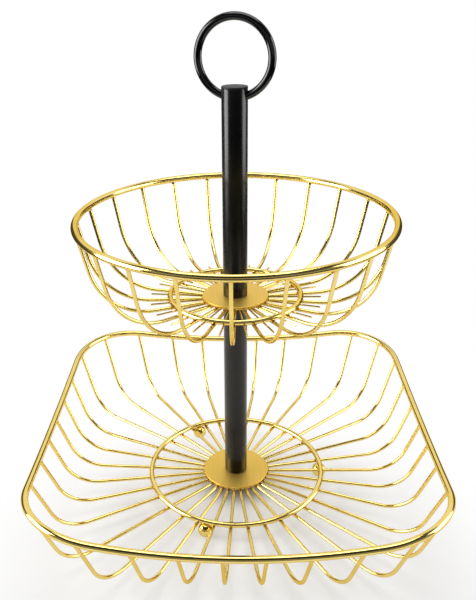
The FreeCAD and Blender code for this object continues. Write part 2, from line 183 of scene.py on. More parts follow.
class Shader:
    """A node tree that is filled by expressions."""

    # The sockets of a Mix node that carry colours
    MIX_COLOURS = (6, 7)
    MIX_RESULT = 2

    def __init__(self, owner: Union[Material, bpy.types.World]) -> None:
        """Empties the node tree of its owner.

        Args:
            owner: the material or the world.
        """
        owner.use_nodes = True
        self.owner = owner
        self.tree = owner.node_tree
        self.tree.nodes.clear()

    def node(
        self, kind: str, settings: dict[str, Any], inputs: dict[Any, Input], output: Union[int, str] = 0
    ) -> Value:
        """Adds one node.

        Args:
            kind: the node's type.
            settings: its own settings, which are set first.
            inputs: the values or links of its sockets, by name or number.
            output: the output that is meant by the result.

        Returns:
            The node's output as a value.
        """
        node = self.tree.nodes.new(kind)
        for name, setting in settings.items():
            setattr(node, name, setting)
        for key, given in inputs.items():
            if isinstance(given, Value):
                self.tree.links.new(given.socket, node.inputs[key])
            else:
                node.inputs[key].default_value = given
        return Value(self, node, output)

    def place(self) -> Value:
        """The surface point in the piece's own coordinates."""
        return self.node("ShaderNodeTexCoord", {}, {}, "Object")

    def direction(self) -> Value:
        """The direction in which a ray leaves the scene, for a world."""
        return self.node("ShaderNodeTexCoord", {}, {}, "Generated")

    def parts(self, vector: Value) -> tuple[Value, Value, Value]:
        """The three parts of a vector."""
        split = self.node("ShaderNodeSeparateXYZ", {}, {0: vector}, "X")
        return split, split.part("Y"), split.part("Z")

    def stretched(self, vector: Value, scale: Place) -> Value:
        """A point with each part multiplied by its own amount."""
        return self.node("ShaderNodeMapping", {}, {"Vector": vector, "Scale": scale})

    def noise(self, vector: Value, noise: Noise) -> Value:
        """The noise at a point."""
        inputs = {"Vector": vector, "Scale": noise.waves, "Detail": noise.detail}
        return self.node("ShaderNodeTexNoise", {}, inputs)

    def mix(self, share: Input, first: Union[Value, Colour], second: Union[Value, Colour]) -> Value:
        """Mixes two colours.

        Args:
            share: how much of the second colour there is, from 0 to 1.
            first: the first colour.
            second: the second colour.

        Returns:
            The mixed colour.
        """
        inputs: dict[Any, Input] = {0: share}
        for key, colour in zip(self.MIX_COLOURS, (first, second)):
            inputs[key] = colour if isinstance(colour, Value) else (*colour, 1.0)
        return self.node("ShaderNodeMix", {"data_type": "RGBA"}, inputs, self.MIX_RESULT)

    def bump(self, height: Value, depth: float) -> Value:
        """The surface normal under a relief of that depth."""
        return self.node("ShaderNodeBump", {}, {"Height": height, "Distance": depth})

    def end(self, surface: Value, output: str) -> None:
        """Ends the tree with an output node of that type."""
        self.node(output, {}, {"Surface": surface})


# Finishes


@dataclass(frozen=True)
class Finish:
    """A finish that passes from dark to light in soft clouds, over a fine relief.

    The tone span is what the noise runs through from dark to light.
    """

    name: str
    light: Colour
    dark: Colour
    tone_span: Span
    cloud: Noise
    roughness: float
    unevenness: float
    relief: Noise
    relief_depth: float
    metallic: float = 1.0
    gloss: float = 0.5

    def inputs(self, shader: Shader, place: Value) -> dict[str, Input]:
        """Lays out the finish.

        Args:
            shader: the shader that it is laid out in.
            place: the surface point.

        Returns:
            The inputs of its principled surface.
        """
        cloud = shader.noise(place, self.cloud)
        return {
            "Base Color": shader.mix(cloud.rise(*self.tone_span), self.dark, self.light),
            "Metallic": self.metallic,
            "Roughness": self.roughness + (cloud - NOISE_MIDDLE) * self.unevenness,
            "Specular IOR Level": self.gloss,
            "Normal": shader.bump(shader.noise(place, self.relief), self.relief_depth),
        }

    def material(self) -> Material:
        """Makes the finish a material.

        Returns:
            The material.
        """
        shader = Shader(bpy.data.materials.new(self.name))
        inputs = self.inputs(shader, shader.place())
        shader.end(shader.node("ShaderNodeBsdfPrincipled", {}, inputs), "ShaderNodeOutputMaterial")
        return shader.owner


@dataclass(frozen=True)
class PolishedGold(Finish):
    """Bright gold plating on drawn wire, with a brown weld tint and painted shade by the welds on one ring.

    A weld radius below zero stands for a wire without such welds.
    """

    light: Colour = (0.90, 0.71, 0.25)
    dark: Colour = (0.86, 0.66, 0.20)
    tone_span: Span = (0.35, 0.65)
    cloud: Noise = Noise(70.0, 3.0)
    roughness: float = 0.12
    unevenness: float = 0.05
    relief: Noise = Noise(900.0)
    relief_depth: float = 0.0015 * MM
    edge_tint: Colour = (0.85, 0.65, 0.3)
    # Brown weld tint, partly painted contact shade where a rib runs under the ring
    weld_tint_and_shade: Colour = (0.42, 0.24, 0.06)
    weld_tint_and_shade_share: float = 0.55
    weld_radius: float = -1.0
    weld_reach: Span = (0.96 * MM, 3.2 * MM)
    weld_roughness: float = 0.12

    def inputs(self, shader: Shader, place: Value) -> dict[str, Input]:
        """Lays out the plating, and over it the weld tint and painted contact shade by the welds.

        Args:
            shader: the shader that it is laid out in.
            place: the surface point.

        Returns:
            The inputs of its principled surface.
        """
        inputs = super().inputs(shader, place)
        x, y, _ = shader.parts(place)
        # Weld tint and painted contact shade in a band round the weld radius
        weld_tint_and_shade_mask = 1 - abs(distance(x, y) - self.weld_radius).rise(*self.weld_reach)
        inputs["Base Color"] = shader.mix(weld_tint_and_shade_mask * self.weld_tint_and_shade_share, inputs["Base Color"], self.weld_tint_and_shade)
        inputs["Roughness"] += weld_tint_and_shade_mask * self.weld_roughness
        inputs["Specular Tint"] = (*self.edge_tint, 1.0)
        return inputs


@dataclass(frozen=True)
class WeldGold(Finish):
    """Plating over a weld bead: rough, tinted brown by the welding, and darkened by painted contact shade."""

    # Dark colours: the weld tint, and painted contact shade where the wires meet.
    light: Colour = (0.52, 0.32, 0.09)
    dark: Colour = (0.12, 0.065, 0.02)
    tone_span: Span = (0.35, 0.62)
    cloud: Noise = Noise(600.0, 4.0)
    roughness: float = 0.34
    unevenness: float = 0.3
    relief: Noise = Noise(2200.0, 3.0)
    relief_depth: float = 0.12 * MM


@dataclass(frozen=True)
class BrushedGold(Finish):
    """Satin gold plate with a straight grain from front to back: fine lines, streaks and soft clouds."""

    light: Colour = (0.84, 0.58, 0.13)
    dark: Colour = (0.81, 0.54, 0.10)
    tone_span: Span = (0.36, 0.64)
    cloud: Noise = Noise(45.0)
    cloud_share: float = 0.2
    roughness: float = 0.48
    unevenness: float = 0.06
    relief: Noise = Noise(2600.0, 3.0)
    relief_depth: float = 0.003 * MM
    line_stretch: Place = (1.0, 0.02, 1.0)
    line_share: float = 0.5
    line_unevenness: float = 0.16
    streak: Noise = Noise(420.0)
    streak_stretch: Place = (1.0, 0.05, 1.0)
    streak_share: float = 0.3

    def inputs(self, shader: Shader, place: Value) -> dict[str, Input]:
        """Lays out the grain and the clouds.

        Args:
            shader: the shader that they are laid out in.
            place: the surface point.

        Returns:
            The inputs of its principled surface.
        """
        lines = shader.noise(shader.stretched(place, self.line_stretch), self.relief)
        streaks = shader.noise(shader.stretched(place, self.streak_stretch), self.streak)
        cloud = shader.noise(place, self.cloud)
        tone = lines * self.line_share + streaks * self.streak_share + cloud * self.cloud_share
        scratched = self.roughness + (lines - NOISE_MIDDLE) * self.line_unevenness
        return {
            "Base Color": shader.mix(tone.rise(*self.tone_span), self.dark, self.light),
            "Metallic": self.metallic,
            "Roughness": scratched + (cloud - NOISE_MIDDLE) * self.unevenness,
            "Normal": shader.bump(lines, self.relief_depth),
        }


@dataclass(frozen=True)
class BlackEnamel(Finish):
    """Baked black paint with a soft gloss and a slight orange peel."""

    light: Colour = (0.0045, 0.0043, 0.0042)
    dark: Colour = (0.0025, 0.0025, 0.0026)
    tone_span: Span = (0.3, 0.7)
    cloud: Noise = Noise(55.0, 3.0)
    roughness: float = 0.22
    unevenness: float = 0.08
    relief: Noise = Noise(800.0, 1.0)
    relief_depth: float = 0.006 * MM
    metallic: float = 0.0
    gloss: float = 0.45


@dataclass(frozen=True)
class ZincPlate(Finish):
    """Bright zinc on the bolt, the washer, the stud and the threaded inserts."""

    light: Colour = (0.66, 0.67, 0.66)
    dark: Colour = (0.50, 0.52, 0.54)
    tone_span: Span = (0.35, 0.65)
    cloud: Noise = Noise(260.0, 3.0)
    roughness: float = 0.32
    unevenness: float = 0.2
    relief: Noise = Noise(1500.0)
    relief_depth: float = 0.02 * MM


@dataclass(frozen=True)
class Nylon(Finish):
    """The black plastic of the clamp washer."""

    light: Colour = (0.022, 0.022, 0.023)
    dark: Colour = (0.013, 0.013, 0.013)
    tone_span: Span = (0.3, 0.7)
    cloud: Noise = Noise(180.0)
    roughness: float = 0.42
    unevenness: float = 0.1
    relief: Noise = Noise(1800.0)
    relief_depth: float = 0.02 * MM
    metallic: float = 0.0


# Modelling by hand


def deselect_all() -> None:
    """Leaves edit mode with nothing selected."""
    if bpy.context.object is not None and bpy.context.object.mode != "OBJECT":
        bpy.ops.object.mode_set(mode="OBJECT")
    bpy.ops.object.select_all(action="DESELECT")


def take(piece: Piece) -> None:
    """Makes a piece the only one selected.

    Args:
        piece: the piece.
    """
    deselect_all()
    piece.select_set(True)
    bpy.context.view_layer.objects.active = piece


def keep(name: str) -> Piece:
    """Names the active object and puts its place into its mesh.

    Args:
        name: the piece's name.

    Returns:
        The piece.
    """
    piece = bpy.context.object
    piece.name = name
    piece.data.name = name
    bpy.ops.object.transform_apply(location=True, rotation=True, scale=True)
    return piece


def edit(piece: Piece, mode: str) -> None:
    """Opens a piece in edit mode with nothing selected.

    Args:
        piece: the piece.
        mode: the elements to work on, VERT, EDGE or FACE.
    """
    take(piece)
    bpy.ops.object.mode_set(mode="EDIT")
    bpy.ops.mesh.select_mode(type=mode)
    bpy.ops.mesh.select_all(action="DESELECT")


def edit_whole(piece: Piece) -> None:
    """Opens a piece in edit mode with all of it selected."""
    edit(piece, "VERT")
    bpy.ops.mesh.select_all(action="SELECT")


def pick_faces(piece: Piece, test: Callable[[bmesh.types.BMFace], bool]) -> None:
    """Opens a piece in edit mode with some of its faces selected.

    Args:
        piece: the piece.
        test: whether a face is one of them.
    """
    edit(piece, "FACE")
    mesh = bmesh.from_edit_mesh(piece.data)
    for face in mesh.faces:
        face.select_set(test(face))
    bmesh.update_edit_mesh(piece.data)


def pick_edges(piece: Piece, test: Callable[[Vector], bool]) -> None:
    """Opens a piece in edit mode with some of its edges selected.

    Args:
        piece: the piece.
        test: what both ends of such an edge pass.
    """
    edit(piece, "EDGE")
    mesh = bmesh.from_edit_mesh(piece.data)
    for edge in mesh.edges:
        edge.select_set(all(test(end.co) for end in edge.verts))
    bmesh.update_edit_mesh(piece.data)


def close_up(piece: Piece) -> Piece:
    """Merges doubled points, turns all faces outwards and shades smooth up to the sharp edges.

    Args:
        piece: the piece.

    Returns:
        The same piece, finished.
    """
    edit_whole(piece)
    bpy.ops.mesh.remove_doubles(threshold=MERGE_DISTANCE)
    bpy.ops.mesh.normals_make_consistent(inside=False)
    bpy.ops.object.mode_set(mode="OBJECT")
    bpy.ops.object.shade_smooth_by_angle(angle=math.radians(SHARP_ANGLE))
    return piece


def cylinder(name: str, radius: float, bottom: float, top: float, vertices: int) -> Piece:
    """Adds a cylinder on the post's axis, as the start of a piece.

    Args:
        name: the piece's name.
        radius: its radius.
        bottom: the height of its lower end.
        top: the height of its upper end.
        vertices: the number of points round it.

    Returns:
        The piece.
    """
    deselect_all()
    middle = UP * (bottom + top) / 2
    bpy.ops.mesh.primitive_cylinder_add(vertices=vertices, radius=radius, depth=top - bottom, location=middle)
    return keep(name)


def soften(piece: Piece, radius: float, height: float, offset: float, segments: int) -> None:
    """Bevels a round edge of a turned piece.

    Args:
        piece: the piece, which is left in edit mode.
        radius: the radius of the edge.
        height: the height of the edge.
        offset: how far the bevel goes in.
        segments: the number of faces across it.
    """
    pick_edges(
        piece,
        lambda point: abs(point.to_2d().length - radius) < MERGE_DISTANCE
        and abs(point.z - height) < MERGE_DISTANCE,
    )
    bpy.ops.mesh.bevel(offset=offset, segments=segments, affect="EDGES")


def cut_level(piece: Piece, height: float, kept: Vector) -> None:
    """Cuts a piece off level and closes the cut.

    Args:
        piece: the piece, which is left in edit mode.
        height: the height of the cut.
        kept: the direction of the side that stays.
    """
    edit_whole(piece)
    bpy.ops.mesh.bisect(
        plane_co=UP * height, plane_no=kept, use_fill=True, clear_inner=True, threshold=MERGE_DISTANCE
    )


def turn(piece: Piece, angle: float) -> Piece:
    """Turns a piece about the post's axis, in its mesh.

    Args:
        piece: the piece.
        angle: how far it is turned.

    Returns:
        The same piece.
    """
    take(piece)
    piece.rotation_euler.z = math.radians(angle)
    bpy.ops.object.transform_apply(location=True, rotation=True, scale=True)
    return piece


def copied(piece: Piece, name: str, angle: float = 0.0, place: Place = (0.0, 0.0, 0.0)) -> Piece:
    """Copies a piece, with its own mesh.

    Args:
        piece: the piece.
        name: the copy's name.
        angle: how far the copy is turned about the post's axis.
        place: how far it is then moved.

    Returns:
        The copy.
    """
    take(piece)
    bpy.ops.object.duplicate()
    bpy.context.object.rotation_euler.z = math.radians(angle)
    bpy.context.object.location = place
    return keep(name)


def join(pieces: list[Piece], name: str) -> Piece:
    """Joins pieces into one mesh.

    Args:
        pieces: the pieces.
        name: the name of the whole.

    Returns:
        The whole.
    """
    deselect_all()
    for piece in pieces:
        piece.select_set(True)
    bpy.context.view_layer.objects.active = pieces[0]
    bpy.ops.object.join()
    return keep(name)


def middle_height(node: str) -> float:
    """The height of the middle of a CAD node."""
    low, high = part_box(node)
    return (low[2] + high[2]) / 2


class WireBender:
    """Round wire that is drawn out and bent, one run after the other."""

    def __init__(self, name: str, start: Vector, heading: Vector, radius: float, sides: int) -> None:
        """Starts with the wire's round section.

        Args:
            name: the piece's name.
            start: the middle of the first section.
            heading: the direction in which the wire is drawn.
            radius: the wire's radius.
            sides: the number of points round the section.
        """
        self.end = start.copy()
        self.heading = heading.normalized()
        self.sides = sides
        lying = self.heading.to_track_quat("Z", "Y").to_euler()
        deselect_all()
        bpy.ops.mesh.primitive_circle_add(vertices=sides, radius=radius, location=start, rotation=lying)
        self.piece = keep(name)
        edit_whole(self.piece)

    def run(self, length: float) -> None:
        """Draws the wire straight on.

        Args:
            length: how far it is drawn.
        """
        step = self.heading * length
        bpy.ops.mesh.extrude_region_move(TRANSFORM_OT_translate={"value": step})
        self.end += step

    def bend(self, centre: Vector, axis: Vector, angle: float, steps: int) -> None:
        """Bends the wire round a centre.

        Args:
            centre: the centre of the bend.
            axis: the direction that it turns about.
            angle: how far it turns.
            steps: the number of steps that it is made in.
        """
        bpy.ops.mesh.spin(steps=steps, angle=-math.radians(angle), center=centre, axis=axis)
        turning = Matrix.Rotation(math.radians(angle), 3, axis)
        self.end = centre + turning @ (self.end - centre)
        self.heading = turning @ self.heading

    def swell(self, scale: float) -> None:
        """Makes the last section larger or smaller."""
        bpy.ops.transform.resize(value=(scale, scale, scale), center_override=self.end)

    def cut_off(self) -> Piece:
        """Closes both ends.

        Returns:
            The finished piece.
        """
        bpy.ops.mesh.select_all(action="SELECT")
        bpy.ops.mesh.fill_holes(sides=self.sides)
        return close_up(self.piece)

    def join_ends(self) -> Piece:
        """Joins the last section to the first and finishes the piece."""
        return close_up(self.piece)


def wire_ring(name: str, centre: Vector, radius: float, wire: float, across: Vector, axis: Vector) -> Piece:
    """Models a closed ring of round wire.

    Args:
        name: the piece's name.
        centre: the middle of the ring.
        radius: the radius of the wire's middle line.
        wire: the wire's diameter.
        across: the direction from the middle to the wire's joint.
        axis: the direction square to the ring.

    Returns:
        The finished piece.
    """
    bender = WireBender(name, centre + across * radius, axis.cross(across), wire / 2, RING_SIDES)
    bender.bend(centre, axis, FULL_TURN, RING_STEPS)
    return bender.join_ends()


def coat(piece: Piece, finish: Material) -> None:
    """Makes a material the only one of a piece."""
    piece.data.materials.clear()
    piece.data.materials.append(finish)


def dress(piece: Piece, finish: Material, body: Body, replaced: Iterable[str] = ()) -> None:
    """Gives a finished piece its material and its body.

    Args:
        piece: the finished piece.
        finish: its material.
        body: the body that it moves with.
        replaced: the CAD nodes that it stands for.
    """
    coat(piece, finish)
    for node in replaced:
        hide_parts(node)
    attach(piece, body.value)
    LOG.info("%s: %d faces on %s", piece.name, len(piece.data.polygons), body.value)


def repaint(node: str, finish: Material) -> None:
    """Gives a CAD node that stays its own material."""
    coat(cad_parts[node], finish)
    LOG.info("%s: kept with %s", node, finish.name)


# Baskets


@dataclass
class RimPlace:
    """Where a rib meets the rim: its distance from the post, its height and its direction."""

    radius: float
    height: float
    angle: float


@dataclass(frozen=True)
class RibRow:
    """The ribs of one side: how many, the angle of their middle from the side's middle, and their step."""

    side: Side
    count: int
    turn: float
    step: float

    def angles(self) -> list[float]:
        """The directions of the ribs, from the middle of the side."""
        first = self.turn - self.step * (self.count - 1) / 2
        return [first + self.step * number for number in range(self.count)]


@dataclass
class Basket:
    """What the two baskets share: ribs on a base ring, gathered by a plate round the post."""

    tier: str
    body: Body
    ring_radius: float
    rib_slope: float
    rib_bend: float
    plate_radius: float
    rows: tuple[RibRow, ...]
    rim_wire: float = 5.4 * MM
    ring_wire: float = 4.3 * MM
    rib_wire: float = 2.8 * MM
    weld_gap: float = 0.05 * MM
    plate_lap: float = 8.0 * MM
    plate_bore: float = 4.2 * MM
    plate_round: float = 0.5 * MM
    plate_round_segments: int = 4
    rib_sides: int = 14
    rib_bend_steps: int = 16
    rib_end_taper: float = 0.5 * MM
    rib_end_width: float = 0.72
    rim_weld_height: float = 1.5 * MM
    rim_weld_toe: float = 0.6
    rim_weld_sink: float = 0.9 * MM
    rim_weld_swell: float = 1.22
    bead_reach: float = 2.1 * MM
    bead_height: float = 0.75 * MM
    bead_width: float = 0.85
    bead_roughness: float = 0.14 * MM
    bead_subdivisions: int = 2
    bead_shapes: int = 3

    @property
    def ring_level(self) -> float:
        """The height of the base ring's middle."""
        return middle_height(f"{self.tier}_base_ring")

    @property
    def inner_end(self) -> float:
        """The distance from the post at which the wires under the plate begin."""
        return self.plate_radius - self.plate_lap

    def level_under_ring(self, wire: float) -> float:
        """The height of the middle of a wire of that diameter under the base ring."""
        return self.ring_level - self.ring_wire / 2 - self.weld_gap - wire / 2

    def rib(self, rim: RimPlace) -> Piece:
        """Models one rib, from its cut end under the plate to its weld on the rim.

        Args:
            rim: where the rib meets the rim.

        Returns:
            The finished rib, turned to its direction.
        """
        level = self.level_under_ring(self.rib_wire)
        lean = math.radians(self.rib_slope)
        rise = rim.height - level
        setback = self.rib_bend * math.tan(lean / 2)
        level_run = rim.radius - rise / math.tan(lean) - setback - self.inner_end
        to_rim = rise / math.sin(lean) - setback - self.rim_wire / 2
        start = Vector((self.inner_end, 0.0, level))
        wire = WireBender(f"{self.tier}_rib", start, RADIAL, self.rib_wire / 2, self.rib_sides)
        wire.swell(self.rib_end_width)
        wire.run(self.rib_end_taper)
        wire.swell(1 / self.rib_end_width)
        wire.run(level_run - self.rib_end_taper)
        wire.bend(wire.end + UP * self.rib_bend, -ACROSS, self.rib_slope, self.rib_bend_steps)
        wire.run(to_rim - self.rim_weld_height)
        toe = self.rim_weld_toe
        wire.run(self.rim_weld_height * toe)
        wire.swell(self.rim_weld_swell ** (1 - toe))
        wire.run(self.rim_weld_height * (1 - toe))
        wire.swell(self.rim_weld_swell ** toe)
        wire.run(self.rim_weld_sink)
        return turn(wire.cut_off(), rim.angle)

    def base_ring(self) -> Piece:
        """Models the ring that lies on the ribs."""
        centre = UP * self.ring_level
        return wire_ring(f"{self.tier}_ring_wire", centre, self.ring_radius, self.ring_wire, RADIAL, UP)

    def plate(self) -> Piece:
        """Models the plate on the inner ends of the ribs, with a bore and softened edges.

        Returns:
            The finished plate.
        """
        low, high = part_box(f"{self.tier}_hub_disc")
        piece = cylinder(f"{self.tier}_plate", self.plate_radius, low[2], high[2], DISC_VERTICES)
        pick_faces(piece, lambda face: abs(face.normal.z) > LEVEL_NORMAL)
        bpy.ops.mesh.inset(thickness=self.plate_radius - self.plate_bore)
        bpy.ops.mesh.bridge_edge_loops()
        for height, rounding in ((high[2], self.plate_round), (low[2], self.plate_round / 2)):
            soften(piece, self.plate_radius, height, rounding, self.plate_round_segments)
        return close_up(piece)

    def bead(self, radius: float, seed: int) -> Piece:
        """Models one uneven weld bead between a rib and what lies on it.

        Args:
            radius: its distance from the post.
            seed: the number that sets its unevenness.

        Returns:
            The bead, in the direction of +X.
        """
        contact = self.ring_level - self.ring_wire / 2 - self.weld_gap / 2
        middle = Vector((radius, 0.0, contact))
        deselect_all()
        bpy.ops.mesh.primitive_ico_sphere_add(
            subdivisions=self.bead_subdivisions, radius=self.bead_reach, location=middle
        )
        piece = keep(f"{self.tier}_bead")
        edit_whole(piece)
        flatness = self.bead_height / self.bead_reach
        bpy.ops.transform.resize(value=(1.0, self.bead_width, flatness), center_override=middle)
        bpy.ops.transform.vertex_random(offset=self.bead_roughness, seed=seed)
        return close_up(piece)

    def welds(self, angles: list[float]) -> Piece:
        """Models the beads where the ribs cross the base ring and where they carry the plate's edge.

        Args:
            angles: the directions of the ribs.

        Returns:
            All the beads as one piece.
        """
        beads = []
        for radius in (self.ring_radius, self.plate_radius - self.bead_reach / 2):
            shapes = [self.bead(radius, seed) for seed in range(self.bead_shapes)]
            for number, angle in enumerate(angles):
                beads.append(copied(shapes[number % self.bead_shapes], f"{self.tier}_bead", angle))
            for shape in shapes:
                bpy.data.objects.remove(shape)
        return join(beads, f"{self.tier}_welds")

    def dress_shared(self, angles: list[float], gold: Material) -> None:
        """Models and dresses the base ring, the plate and the weld beads.

        Args:
            angles: the directions of the ribs.
            gold: the finish of the wire.
        """
        dress(self.base_ring(), gold, self.body, [f"{self.tier}_base_ring"])
        brushed = BrushedGold(f"{self.tier}_plate_gold").material()
        dress(self.plate(), brushed, self.body, [f"{self.tier}_hub_disc"])
        welded = WeldGold(f"{self.tier}_weld_gold").material()
        dress(self.welds(angles), welded, self.body)

    def rib_finish(self) -> Material:
        """The ribs' polished gold, with a weld tint and painted shade where they cross the base ring."""
        return PolishedGold(f"{self.tier}_rib_gold", weld_radius=self.ring_radius).material()


@dataclass
class Bow:
    """A round bend in space: its centre, its middle direction, its direction of travel and its size."""

    centre: Vector
    out: Vector
    along: Vector
    radius: float
    half_angle: float

    def point(self, angle: float) -> Vector:
        """The point at an angle in radians from the middle."""
        return self.centre + (self.out * math.cos(angle) + self.along * math.sin(angle)) * self.radius

    def heading(self, angle: float) -> Vector:
        """The direction of travel at an angle in radians from the middle."""
        return self.along * math.cos(angle) - self.out * math.sin(angle)

    def crossing(self, angle: float) -> Vector:
        """The point where the bend crosses a direction from the post.

        Args:
            angle: the direction, in degrees from +X.

        Returns:
            The crossing nearest to the middle of the bend.
        """
        square = Vector((-math.sin(math.radians(angle)), math.cos(math.radians(angle)), 0.0))
        cosine = square.dot(self.out) * self.radius
        sine = square.dot(self.along) * self.radius
        middle = math.atan2(sine, cosine)
        spread = math.acos(-square.dot(self.centre) / math.hypot(cosine, sine))
        return self.point(min(middle - spread, middle + spread, key=abs))


@dataclass
class LowerBasket(Basket):
    """The square basket, whose rim bows outwards and dips on each side."""

    tier: str = "lower"
    body: Body = Body.LOWER_TIER
    ring_radius: float = 74.4 * MM
    rib_slope: float = 68.5
    rib_bend: float = 32.0 * MM
    plate_radius: float = 28.0 * MM
    rows: tuple[RibRow, ...] = (
        RibRow(Side.RIGHT, 7, 0.6, 10.7),
        RibRow(Side.BACK, 8, -2.8, 10.3),
        RibRow(Side.LEFT, 7, -2.9, 10.8),
        RibRow(Side.FRONT, 8, 2.0, 10.7),
    )
    rim_half_width: float = 158.3 * MM
    rim_rise: float = 45.0 * MM
    side_half_chord: float = 97.5 * MM
    side_bow: float = 2.7 * MM
    side_dip: float = 7.8 * MM
    rim_bend_steps: int = 28

    def side_bend(self) -> Bow:
        """Works out the bend of the right-hand side.

        Returns:
            The bend.
        """
        sag = math.hypot(self.side_bow, self.side_dip)
        radius = (self.side_half_chord ** 2 + sag ** 2) / (2 * sag)
        out = Vector((self.side_bow / sag, 0.0, -self.side_dip / sag))
        middle = Vector((self.rim_half_width, 0.0, self.ring_level + self.rim_rise))
        return Bow(middle - out * radius, out, ACROSS, radius, math.asin(self.side_half_chord / radius))

    def corner_bend(self) -> Bow:
        """Works out the bend that leads smoothly from the right-hand side to the back one.

        Returns:
            The bend.
        """
        side = self.side_bend()
        start = side.point(side.half_angle)
        leaving = side.heading(side.half_angle)
        end = Vector((start.y, start.x, start.z))
        along = (end - start).normalized()
        half_angle = math.acos(leaving.dot(along))
        out = (leaving - along * math.cos(half_angle)).normalized()
        radius = (end - start).length / (2 * math.sin(half_angle))
        centre = (start + end) / 2 - out * (radius * math.cos(half_angle))
        return Bow(centre, out, along, radius, half_angle)

    def rim(self) -> Piece:
        """Models the rim as one wire, bent round its four sides and corners.

        Returns:
            The finished rim.
        """
        side = self.side_bend()
        bends = (side, self.corner_bend())
        start = side.point(-side.half_angle)
        heading = side.heading(-side.half_angle)
        wire = WireBender("lower_rim_wire", start, heading, self.rim_wire / 2, RING_SIDES)
        for quarter in Side:
            turning = Matrix.Rotation(math.radians(quarter.value), 3, UP)
            for bow in bends:
                axis = turning @ bow.out.cross(bow.along)
                angle = 2 * math.degrees(bow.half_angle)
                wire.bend(turning @ bow.centre, axis, angle, self.rim_bend_steps)
        return wire.join_ends()

    def rim_place(self, angle: float) -> RimPlace:
        """Finds where a rib of the right-hand side or its back corner meets the rim.

        Args:
            angle: the rib's direction from the middle of that side.

        Returns:
            The place on the rim.
        """
        side = self.side_bend()
        edge = side.point(side.half_angle)
        on_side = abs(angle) <= math.degrees(math.atan2(edge.y, edge.x))
        bow = side if on_side else self.corner_bend()
        point = bow.crossing(angle if on_side else abs(angle))
        return RimPlace(math.hypot(point.x, point.y), point.z, angle)

    def build(self) -> None:
        """Models and dresses the whole basket."""
        gold = PolishedGold("lower_rim_gold").material()
        dress(self.rim(), gold, self.body, ["lower_rim"])
        rib_gold = self.rib_finish()
        corner_ribs = []
        directions = []
        for row, next_row in zip(self.rows, self.rows[1:] + self.rows[:1]):
            name = row.side.name.lower()
            angles = row.angles()
            corner = (angles[-1] + next_row.angles()[0] + QUARTER_TURN) / 2
            ribs = join([self.rib(self.rim_place(angle)) for angle in angles], f"lower_{name}_rib_wires")
            turn(ribs, row.side.value)
            dress(ribs, rib_gold, self.body, [f"lower_{name}_ribs"])
            corner_ribs.append(turn(self.rib(self.rim_place(corner)), row.side.value))
            directions += [angle + row.side.value for angle in (*angles, corner)]
        corners = join(corner_ribs, "lower_corner_rib_wires")
        dress(corners, rib_gold, self.body, ["lower_corner_ribs"])
        self.dress_shared(directions, gold)


@dataclass
class UpperBasket(Basket):
    """The round basket."""

    tier: str = "upper"
    body: Body = Body.UPPER_BASKET
    ring_radius: float = 51.5 * MM
    rib_slope: float = 77.0
    rib_bend: float = 48.5 * MM
    plate_radius: float = 26.0 * MM
    rows: tuple[RibRow, ...] = (
        RibRow(Side.RIGHT, 6, 0.0, 16.6),
        RibRow(Side.BACK, 6, 4.6, 15.1),
        RibRow(Side.LEFT, 5, 3.1, 17.3),
        RibRow(Side.FRONT, 5, -1.3, 16.9),
    )
    rim_radius: float = 120.0 * MM
    spoke_wire: float = 1.4 * MM
    spoke_overhang: float = 16.5 * MM
    spoke_tip: float = 0.4 * MM
    spoke_tip_taper: float = 0.5
    spoke_sides: int = 10

    def rim(self) -> Piece:
        """Models the round rim."""
        centre = UP * middle_height("upper_rim")
        return wire_ring("upper_rim_wire", centre, self.rim_radius, self.rim_wire, RADIAL, UP)

    def spokes(self, angles: list[float]) -> Piece:
        """Models the thin spokes of the base, one midway between each two ribs.

        Args:
            angles: the directions of the ribs, in order round the basket.

        Returns:
            All the spokes as one piece.
        """
        start = Vector((self.inner_end, 0.0, self.level_under_ring(self.spoke_wire)))
        wire = WireBender("upper_spoke", start, RADIAL, self.spoke_wire / 2, self.spoke_sides)
        wire.run(self.ring_radius + self.spoke_overhang - self.spoke_tip - self.inner_end)
        wire.run(self.spoke_tip)
        wire.swell(self.spoke_tip_taper)
        master = wire.cut_off()
        following = angles[1:] + [angles[0] + FULL_TURN]
        middles = [(angle + after) / 2 for angle, after in zip(angles, following)]
        copies = [copied(master, "upper_spoke", angle) for angle in middles]
        bpy.data.objects.remove(master)
        return join(copies, "upper_base_spoke_wires")

    def build(self) -> None:
        """Models and dresses the whole basket."""
        gold = PolishedGold("upper_rim_gold").material()
        dress(self.rim(), gold, self.body, ["upper_rim"])
        master = self.rib(RimPlace(self.rim_radius, middle_height("upper_rim"), 0.0))
        rib_gold = self.rib_finish()
        directions = []
        for row in self.rows:
            name = row.side.name.lower()
            angles = [angle + row.side.value for angle in row.angles()]
            copies = [copied(master, "upper_rib", angle) for angle in angles]
            ribs = join(copies, f"upper_{name}_rib_wires")
            dress(ribs, rib_gold, self.body, [f"upper_{name}_ribs"])
            directions += angles
        bpy.data.objects.remove(master)
        dress(self.spokes(directions), rib_gold, self.body, ["upper_base_spokes"])
        self.dress_shared(directions, gold)


